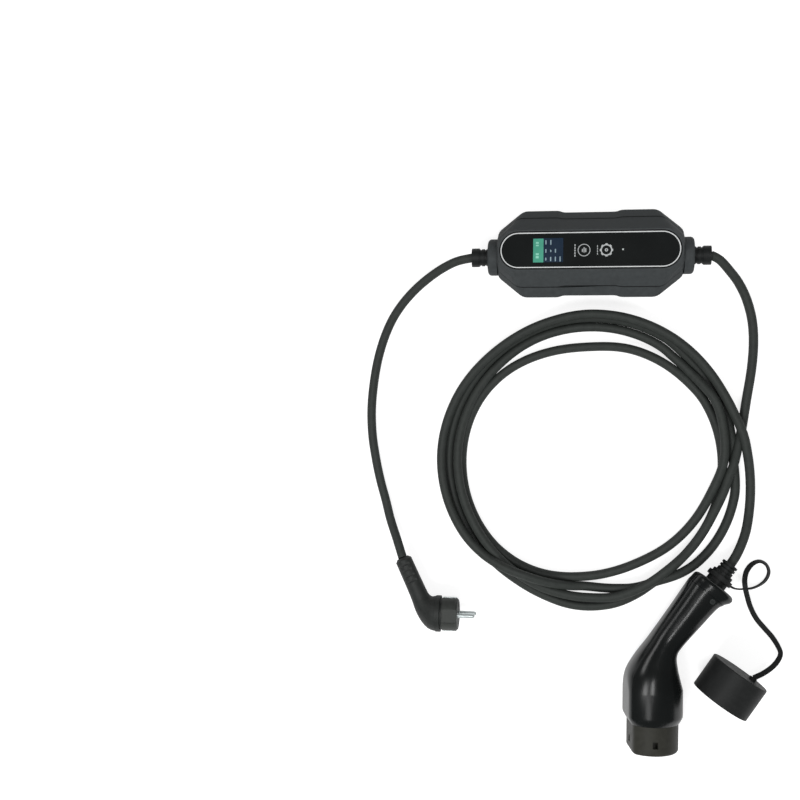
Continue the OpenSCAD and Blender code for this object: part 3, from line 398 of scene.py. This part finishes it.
def eased(stations, i, angle, column):
    """A value between a station and the next, that keeps the slope at both."""
    start = stations[i]
    end = stations[i + 1]
    span = end[0] - start[0]
    t = (angle - start[0]) / span
    leaving = start[column] * (1 + 2 * t) + slope(stations, i, column) * span * t
    nearing = end[column] * (3 - 2 * t) + slope(stations, i + 1, column) * span * (t - 1)
    return leaving * (1 - t) ** 2 + nearing * t * t


def coil_line():
    """The turns as points, with radius and height eased from place to place."""
    stations = [(360 * turn + angle, r, z) for turn, row in enumerate(COIL_TURNS) for angle, r, z in row]
    line = []
    angle = stations[0][0]
    while angle <= stations[-1][0]:
        i = max(k for k in range(len(stations) - 1) if stations[k][0] <= angle)
        r, z = (eased(stations, i, angle, column) for column in (1, 2))
        turn = -math.radians(angle)
        line.append(COIL_CENTRE + Vector((r * math.cos(turn), r * math.sin(turn), z)))
        angle += COIL_STEP
    return line


# Tether strap: places along it, and how far its width is turned up from the floor
STRAP_W = 5.5
STRAP_T = 1.8
STRAP_ROUTE = [Vector(p) for p in (
    (150.84, -356.51, 21.62, 80), (155.2, -358.8, 19.5, 80), (159.5, -360, 15, 80), (164, -360.5, 10.5, 80),
    (169.5, -360.5, 6.5, 75), (176, -360, 3.5, 70), (182, -357.5, 3, 65), (188, -353, 3, 55),
    (192, -347, 3, 50), (193, -340.5, 3, 55), (190, -334, 3, 65), (183.5, -331, 3.2, 65), (176, -334, 4, 45),
    (170, -341, 7, 20), (167, -349, 13, 5), (167, -357.5, 16.5, 0), (170, -368.5, 11, 0),
    (174.5, -381, 4.5, 5), (181, -393, 1.8, 10), (189.5, -403, 1.8, 15), (197, -411.5, 2, 20),
    (202.7, -420.5, 3.5, 35), (205, -428, 7.5, 45), (200.5, -435.5, 13.5, 35), (193, -441.5, 20, 15),
    (183.5, -446.3, 27, 5), (174.15, -449.78, 31.8, 0),
)]
# Outline of the band with rounded edges, in shares of its width and thickness
STRAP_SECTION = [
    (0.5, 0.3), (0.42, 0.5), (-0.42, 0.5), (-0.5, 0.3),
    (-0.5, -0.3), (-0.42, -0.5), (0.42, -0.5), (0.5, -0.3),
]


def strap_piece(line):
    """A flat band along a line, turned about it as the line's fourth value says."""
    rings = []
    for i, place in enumerate(line):
        centre = place.to_3d()
        ahead = (line[min(i + 1, len(line) - 1)].to_3d() - line[max(i - 1, 0)].to_3d()).normalized()
        side = Vector((0, 0, 1)).cross(ahead).normalized()
        side = Quaternion(ahead, math.radians(place[3])) @ side
        rise = ahead.cross(side)
        rings.append([centre + side * STRAP_W * a + rise * STRAP_T * b for a, b in STRAP_SECTION])
    return smooth(mesh_piece("tether_band", *loft(rings), CAP, "cap", ["tether_strap"]))


# Vehicle connector, from the same stations as the part's housing, with a finer skin

CONN_X = 68
CONN_Z = 34
CONN_ROLL = math.radians(8.5)
FRONT_Y = -500
BODY_BACK_Y = -466
BODY_EDGE = 6.5
BODY_R = 34
BODY_FLAT = 25.6
BEZEL = 3.3
HANDLE_HEADING = 52
HANDLE_START = Vector((70.4, -431.9))
HANDLE_L = 88
RING_POINTS = 96
FLAT_CROWN = 0.5
FLAT_ROUND = 3.5
# Rounded front edge: distance back from the front, and step in from the full section
FRONT_EDGE = [
    (0, BEZEL + 0.8), (0.2, BEZEL + 0.25), (0.7, BEZEL - 0.15), (BODY_EDGE - 1.4, 0.75), (BODY_EDGE, 0.25),
    (BODY_EDGE + 1.4, 0.03), (BODY_EDGE + 3, 0),
]
# Step back, shift sideways, heading, half width, half height, squareness, cut of the flat side
ELBOW_TABLE = [
    (16, 1.5, 86, 28.8, 31, 2.05, 2.2),
    (28.4, 5.2, 77, 23.6, 27, 2.1, 0),
    (43.3, 11.3, 63, 17.9, 23, 2.1, 0),
]
BUTT_W = 22.2
BUTT_SHIFT = 1.2
BUTT_H = 22.5
BUTT_E = 2.3
# Share of the handle's length, shift sideways, half width, half height, squareness
GRIP_TABLE = [
    (0.31, 0, 17.2, 21, 2.1),
    (0.64, 0, 18.8, 21.7, 2.15),
    (0.92, 0, 20.5, 22.3, 2.25),
    (1, BUTT_SHIFT, BUTT_W, BUTT_H, BUTT_E),
]
HOUSING_STEPS = 8
ROUND_STEPS = 6


def rolled(p):
    """The connector lies rolled about the axis of its nose."""
    x = p[0] - CONN_X
    z = p[2] - CONN_Z
    cos, sin = math.cos(CONN_ROLL), math.sin(CONN_ROLL)
    return Vector((CONN_X + x * cos + z * sin, p[1], CONN_Z + z * cos - x * sin))


def lesser(a, b, blend):
    """The lesser of two values, rounded over where they are close."""
    near = max(blend - abs(a - b), 0) / blend
    return min(a, b) - near * near * blend / 4


def power_of(c, e):
    return math.copysign(abs(c) ** (2 / e), c)


def section(x, y, heading, half_w, half_h, e, flat):
    """A ring across the connector: an ellipse of a given squareness, cut by the flat left side."""
    turn = math.radians(heading)
    ring = []
    for k in range(RING_POINTS):
        angle = 2 * math.pi * k / RING_POINTS
        v = half_h * power_of(math.sin(angle), e)
        crowned = flat + FLAT_CROWN * (1 - (v / half_h) ** 2)
        w = lesser(half_w * power_of(math.cos(angle), e), crowned, FLAT_ROUND)
        ring.append(rolled((x - w * math.sin(turn), y + w * math.cos(turn), CONN_Z + v)))
    return ring


def quarter_round(radius):
    """Places around a rounded edge: distance back from its end, and step in from its side."""
    turns = [math.pi / 2 * k / ROUND_STEPS for k in range(ROUND_STEPS + 1)]
    return [(radius * (1 - math.sin(t)), radius * (1 - math.cos(t))) for t in turns]


def handle_point(reach, shift=0):
    """A place on the floor plan, from the reach along the handle and the shift to its right."""
    turn = math.radians(HANDLE_HEADING)
    ahead = Vector((math.cos(turn), math.sin(turn)))
    left = Vector((-math.sin(turn), math.cos(turn)))
    return HANDLE_START + ahead * reach - left * shift


def front_ring(y, step_in):
    return section(CONN_X, FRONT_Y + y, 90, BODY_R - step_in, BODY_R - step_in, 2, BODY_FLAT - step_in)


def housing_piece():
    stations = [(CONN_X, BODY_BACK_Y, 90, BODY_R, BODY_R, 2, BODY_FLAT)]
    for back, shift, heading, half_w, half_h, e, cut in ELBOW_TABLE:
        stations.append((CONN_X + shift, BODY_BACK_Y + back, heading, half_w, half_h, e, half_w - cut))
    for share, shift, half_w, half_h, e in GRIP_TABLE:
        x, y = handle_point(share * HANDLE_L, shift)
        stations.append((x, y, HANDLE_HEADING, half_w, half_h, e, half_w))
    rings = [front_ring(y, step_in) for y, step_in in FRONT_EDGE]
    rings += [section(*s) for s in through([Vector(s) for s in stations], HOUSING_STEPS)]
    piece = mesh_piece("housing_skin", *loft(rings), CONNECTOR, "connector", ["connector_housing"])
    cut_seat(piece)
    return smooth(piece)


# Seat of the rear cap's screw in the upper flank of the handle
SEAT_BACK = 4
SEAT_SHIFT = 7
SEAT_R = 3.1
SEAT_Z = CONN_Z + BUTT_H - 2.6
SEAT_REACH = 8
SEAT_SIDES = 32


def cut_seat(piece):
    x, y = handle_point(HANDLE_L - SEAT_BACK, SEAT_SHIFT)
    turns = [2 * math.pi * k / SEAT_SIDES for k in range(SEAT_SIDES)]
    circle = [(x + SEAT_R * math.cos(t), y + SEAT_R * math.sin(t)) for t in turns]
    rings = [[rolled((*place, z)) for place in circle] for z in (SEAT_Z, SEAT_Z + SEAT_REACH)]
    cutter = bpy.data.objects.new("seat_cut", outward_mesh("seat_cut", *loft(rings)))
    bpy.context.scene.collection.objects.link(cutter)
    boolean = piece.modifiers.new("seat", "BOOLEAN")
    boolean.operation = "DIFFERENCE"
    boolean.object = cutter
    cut = bpy.data.meshes.new_from_object(piece.evaluated_get(bpy.context.evaluated_depsgraph_get()))
    piece.modifiers.clear()
    piece.data = cut
    bpy.data.objects.remove(cutter)


# Rear cap of the handle, flared to the outer side
REAR_CAP_L = 13
CAP_LIP = 1.9
CAP_BULGE = 2.6
CAP_RISE = 0.4
CAP_FLARE = 8
CAP_FLARE_STEPS = 6
CAP_ROUND = 4.2
# Seam to the housing: distance back from the handle's end, and growth from its section
CAP_SEAM = [(0.15, -1), (0.15, -0.35), (0.5, 0)]


def rear_ring(reach, share, grow):
    """A ring of the rear cap, with a share of the whole flare."""
    x, y = handle_point(reach, BUTT_SHIFT + CAP_BULGE * share)
    half_w = BUTT_W + CAP_LIP * share + grow
    half_h = BUTT_H + CAP_RISE * share + grow
    return section(x, y, HANDLE_HEADING, half_w, half_h, BUTT_E, half_w)


def rear_cap_piece():
    rings = [rear_ring(HANDLE_L + back, 0, grow) for back, grow in CAP_SEAM]
    for k in range(1, CAP_FLARE_STEPS + 1):
        t = k / CAP_FLARE_STEPS
        rings.append(rear_ring(HANDLE_L + CAP_FLARE * t, t * t * (3 - 2 * t), 0))
    for back, step_in in quarter_round(CAP_ROUND):
        rings.append(rear_ring(HANDLE_L + REAR_CAP_L - back, 1, -step_in))
    return smooth(mesh_piece("rear_cap_skin", *loft(rings), CONNECTOR, "connector", ["rear_cap"]))


# Nose: a tube with one flat side, a rounded front edge and three windows
NOSE_R = 29.5
NOSE_FLAT = 21.8
NOSE_WALL = 2.5
NOSE_FRONT_Y = -530.5
NOSE_SIDES = 132
NOSE_ROUND = 3.5
# How far the tube goes into the housing, and how far it is plain in front of it
NOSE_INSERT = 3
NOSE_PLAIN = 4
# Cosine of the angle from which a side can meet the flat
FLAT_FROM = -0.1
WINDOW_BACK = 8.5
WINDOW_L = 7
# Middle of each window around the nose, in sides from the right, and half its width in sides
WINDOWS = [(33, 2), (66, 3), (99, 2)]


def nose_ring(y, step_in):
    ring = []
    for k in range(NOSE_SIDES):
        angle = 2 * math.pi * k / NOSE_SIDES
        reach = NOSE_R - step_in
        if math.cos(angle) < FLAT_FROM:
            reach = lesser(reach, (NOSE_FLAT - step_in) / -math.cos(angle), FLAT_ROUND)
        ring.append(rolled((CONN_X + reach * math.cos(angle), y, CONN_Z + reach * math.sin(angle))))
    return ring


def nose_piece():
    rows = [(FRONT_Y + NOSE_INSERT, 0), (FRONT_Y - NOSE_PLAIN, 0)]
    window_start = len(rows) * NOSE_SIDES
    rows += [(NOSE_FRONT_Y + WINDOW_BACK + WINDOW_L, 0), (NOSE_FRONT_Y + WINDOW_BACK, 0)]
    rows += [(NOSE_FRONT_Y + back, step_in) for back, step_in in quarter_round(NOSE_ROUND)]
    points, faces = loft([nose_ring(*row) for row in rows], False, False)
    gaps = {window_start + side for middle, half in WINDOWS for side in range(middle - half, middle + half)}
    faces = [face for face in faces if face[0] not in gaps]
    piece = mesh_piece("nose_skin", points, faces, NOSE, "nose", ["nose_shroud"])
    wall = piece.modifiers.new("wall", "SOLIDIFY")
    wall.thickness = NOSE_WALL * MM
    wall.offset = -1
    return smooth(piece)


# Marks on the front panel: plain bars, rings and lit fields, and a dark ring around the panel's trim that
# paints the shadow line of the gap beside it

PANEL_Z = 51.5
MARK_H = 0.08
ARC_STEPS = 40
FIRST_KEY = (-5.9, -0.4)
SECOND_KEY = (17.6, -0.5)
# Bars within the first key: shift from its middle, and length
FIRST_KEY_BARS = [(-1.8, -0.3, 3.2), (0, 0.2, 5.6), (1.8, -0.1, 4.2)]
FIRST_KEY_BAR_W = 1.1
KEY_TEETH = 8
TOOTH_SPREAD = 11
TOOTH_STEPS = 6
# Row of bars beside each key: place along the panel, ends across it, count and width
KEY_ROWS = [(-15.5, -7.7, 6.3, 5, 1.2), (8.2, -5.8, 4.9, 4, 0.8)]
KEY_ROW_FILL = 0.74
# Green field of the display: place, size and height
GREEN_BOX = (-54.5, -0.3, 11, 25.6, 0.03)
# Bars on the green field: place and size
GREEN_BARS = [(-55.6, 5.2, 3, 1.6), (-55.6, 8, 3, 2), (-55.6, -4.2, 3.2, 2), (-55.6, -7.4, 3.2, 2.6)]
# Bars on the dark field: each column's place and its bars' lengths, and the places of the rows
SCREEN_COLUMNS = [
    (-46.4, (4.4, 3.8, 3)), (-41.2, (5.2, 2.4, 4.6)), (-36.2, (0, 4, 5)), (-31.2, (0, 0, 5.4)),
]
SCREEN_ROWS = (8.4, -0.8, -9.6)
SCREEN_BAR_W = 1.2

TRIM_L = 191
TRIM_W = 39
TRIM_RISE = 0.5
SHADOW_LINE_STEPS = 24
# Section of the painted shadow line around the trim: reach out from the trim's edge, and height over the
# panel
SHADOW_LINE_SECTION = [
    (0.1, -0.3), (0.1, TRIM_RISE + 0.02), (-0.4, TRIM_RISE + 0.02), (-0.4, TRIM_RISE + 0.08),
    (0.25, TRIM_RISE + 0.08), (1, 0.12), (1.1, -0.3),
]


def joined(parts):
    points = []
    faces = []
    for part_points, part_faces in parts:
        faces += [tuple(len(points) + i for i in face) for face in part_faces]
        points += part_points
    return points, faces


def bar(x, y, length_x, length_y, high=MARK_H):
    a = length_x / 2
    b = length_y / 2
    corners = [(x - a, y - b), (x + a, y - b), (x + a, y + b), (x - a, y + b)]
    return loft([[Vector((*corner, PANEL_Z + z)) for corner in corners] for z in (0, high)])


def arc(middle, inner, outer, start=0, end=360, steps=ARC_STEPS):
    """A flat ring, or a part of one, on the panel."""
    x, y = middle
    turns = [math.radians(start + (end - start) * k / steps) for k in range(steps + 1)]
    rings = []
    for t in turns:
        rings.append([
            Vector((x + r * math.cos(t), y + r * math.sin(t), PANEL_Z + z))
            for r, z in ((inner, 0), (outer, 0), (outer, MARK_H), (inner, MARK_H))
        ])
    return loft(rings, end - start < 360, end - start < 360)


def pill(length, width):
    """Outline with straight long sides and round ends, about the middle of the panel."""
    straight = (length - width) / 2
    turns = [math.pi * k / SHADOW_LINE_STEPS - math.pi / 2 for k in range(SHADOW_LINE_STEPS + 1)]
    half = [(straight + width / 2 * math.cos(t), width / 2 * math.sin(t)) for t in turns]
    return half + [(-x, -y) for x, y in half]


def shadow_line_piece():
    """A dark ring in the seal rubber's colour that paints the shadow line around the trim ring, and laps
    over the ring's edge.
    """
    rings = []
    for spread, z in SHADOW_LINE_SECTION:
        outline = pill(TRIM_L + 2 * spread, TRIM_W + 2 * spread)
        rings.append([Vector((x, y, PANEL_Z + z)) for x, y in outline])
    # The seal colour here is painted shadow: the ring stands for the shade in the gap around the trim
    return mesh_piece("trim_shadow_line", *loft(rings + rings[:1], False, False), SEAL, "seal")


def key_marks():
    x, y = FIRST_KEY
    marks = [arc(FIRST_KEY, 5.9, 6.7)]
    marks += [bar(x + a, y + b, FIRST_KEY_BAR_W, length) for a, b, length in FIRST_KEY_BARS]
    marks += [arc(SECOND_KEY, 4.9, 6.2), arc(SECOND_KEY, 0.7, 1.7)]
    for k in range(KEY_TEETH):
        turn = 360 / KEY_TEETH * k
        marks.append(arc(SECOND_KEY, 6.2, 7, turn - TOOTH_SPREAD, turn + TOOTH_SPREAD, TOOTH_STEPS))
    for x, start, end, count, width in KEY_ROWS:
        step = (end - start) / count
        marks += [bar(x, start + step * (k + 0.5), width, step * KEY_ROW_FILL) for k in range(count)]
    return marks


def screen_marks():
    marks = []
    for x, lengths in SCREEN_COLUMNS:
        marks += [bar(x, y, SCREEN_BAR_W, length) for y, length in zip(SCREEN_ROWS, lengths) if length]
    return marks


def panel_pieces():
    mesh_piece("panel_print", *joined(key_marks()), PANEL_MARK, "trim")
    mesh_piece("screen_green", *bar(*GREEN_BOX), GREEN_FIELD, "screen")
    mesh_piece("green_marks", *joined([bar(*row) for row in GREEN_BARS]), GREEN_MARK, "screen")
    mesh_piece("screen_marks", *joined(screen_marks()), PALE_MARK, "screen")


# The three cords, each run to what hangs on its far end

# The output cable runs on inside the handle: reach along it, and shift from its middle
CORE_TABLE = [(101, 3.5), (70, 2), (40, 0.5), (15, 0)]
OUTPUT_NODES = ["output_lead", "output_coil", "output_tail"]
LINE_STEPS = 6
OUTPUT_STEPS = 3


def make_cords(connector_pieces):
    line = through(INPUT_ROUTE, LINE_STEPS)
    piece = cable_piece("input_line", line, CABLE_D, CABLE, ["input_cable"])

    core = [rolled((*handle_point(reach, shift), CONN_Z)) for reach, shift in CORE_TABLE]
    line = through(LEAD_ROUTE + coil_line() + TAIL_ROUTE + core, OUTPUT_STEPS)
    piece = cable_piece("output_line", line, CABLE_D, CABLE, OUTPUT_NODES)

    line = through(STRAP_ROUTE, LINE_STEPS)
    piece = strap_piece(line)


# Floor, light and background

# Glow of the floor towards the camera and in reflections, beside the light that falls on it
FLOOR_SEEN = 0.75
FLOOR_IN_GLOSS = 0.3
FLOOR_HALF = 12
FLOOR_DROP = 0.2 * MM
FLOOR_GREY = (0.4, 0.4, 0.4, 1)
WHITE = (1, 1, 1, 1)
WORLD_SEEN = 1
WORLD_LEVEL = 0.5
WORLD_IN_GLOSS = 0.05
PART_MIDDLE = (0, -0.25, 0)
STREAK_TARGET = (0.08, -0.4, 0)
# Each lamp's place, target, size in metres, power in watts, and whether gloss alone shows it
LAMPS = [
    ("key", (-0.5, -1.5, 1.6), PART_MIDDLE, (1.0, 0.7), 44, False),
    ("fill", (0.9, 0.5, 1.9), PART_MIDDLE, (1.2, 1.2), 17, False),
    ("streak_body", (-0.6, -0.28, 1.72), STREAK_TARGET, (0.2, 0.5), 5, True),
    ("streak_handle", (0.2, -0.22, 1.95), STREAK_TARGET, (0.28, 0.35), 3.4, True),
    ("streak_flank", (-1.34, 0.87, 1.09), STREAK_TARGET, (0.4, 0.5), 2.8, True),
    ("sheen", (-0.21, -0.85, 1.95), STREAK_TARGET, (0.5, 0.5), 2.2, True),
]


def by_ray(tree, seen, in_gloss, otherwise):
    """A strength of its own for the camera, for reflections and for all other light."""
    paths = tree.nodes.new("ShaderNodeLightPath")
    to_camera = tree.nodes.new("ShaderNodeMath")
    to_camera.operation = "MULTIPLY_ADD"
    to_camera.inputs[1].default_value = seen - otherwise
    to_camera.inputs[2].default_value = otherwise
    to_gloss = tree.nodes.new("ShaderNodeMath")
    to_gloss.operation = "MULTIPLY_ADD"
    to_gloss.inputs[1].default_value = in_gloss - otherwise
    tree.links.new(paths.outputs["Is Camera Ray"], to_camera.inputs[0])
    tree.links.new(paths.outputs["Is Glossy Ray"], to_gloss.inputs[0])
    tree.links.new(to_camera.outputs[0], to_gloss.inputs[2])
    return to_gloss.outputs[0]


def make_floor():
    half = FLOOR_HALF
    mesh = bpy.data.meshes.new("floor")
    mesh.from_pydata([(-half, -half, 0), (half, -half, 0), (half, half, 0), (-half, half, 0)], [],
                     [(0, 1, 2, 3)])
    floor = bpy.data.objects.new("floor", mesh)
    floor.location.z = -FLOOR_DROP
    bpy.context.scene.collection.objects.link(floor)
    material = bpy.data.materials.new("floor")
    material.use_nodes = True
    tree = material.node_tree
    shader = tree.nodes["Principled BSDF"]
    shader.inputs["Base Color"].default_value = FLOOR_GREY
    shader.inputs["Roughness"].default_value = 0.9
    shader.inputs["Specular IOR Level"].default_value = 0.1
    shader.inputs["Emission Color"].default_value = WHITE
    tree.links.new(by_ray(tree, FLOOR_SEEN, FLOOR_IN_GLOSS, 0), shader.inputs["Emission Strength"])
    floor.data.materials.append(material)


def area_light(name, place, target, size, power, in_gloss):
    """A panel of light, either for the surfaces themselves or for the streaks that gloss shows."""
    data = bpy.data.lights.new(name, "AREA")
    data.shape = "RECTANGLE"
    data.size, data.size_y = size
    data.energy = power
    lamp = bpy.data.objects.new(name, data)
    lamp.visible_glossy = in_gloss
    lamp.visible_diffuse = not in_gloss
    bpy.context.scene.collection.objects.link(lamp)
    lamp.location = place
    aim = Vector(target) - Vector(place)
    lamp.rotation_mode = "QUATERNION"
    lamp.rotation_quaternion = aim.to_track_quat("-Z", "Y")


def make_light():
    world = bpy.data.worlds.new("studio")
    bpy.context.scene.world = world
    world.use_nodes = True
    tree = world.node_tree
    background = tree.nodes["Background"]
    background.inputs["Color"].default_value = WHITE
    strength = by_ray(tree, WORLD_SEEN, WORLD_IN_GLOSS, WORLD_LEVEL)
    tree.links.new(strength, background.inputs["Strength"])
    for lamp in LAMPS:
        area_light(*lamp)


make_camera()
dress_nodes()
make_cords([housing_piece(), nose_piece(), rear_cap_piece()])
panel_pieces()
# A dark ring painted around the trim as the shadow in its gap
shadow_line_piece()
make_floor()
make_light()
bpy.context.scene.view_settings.view_transform = "Standard"
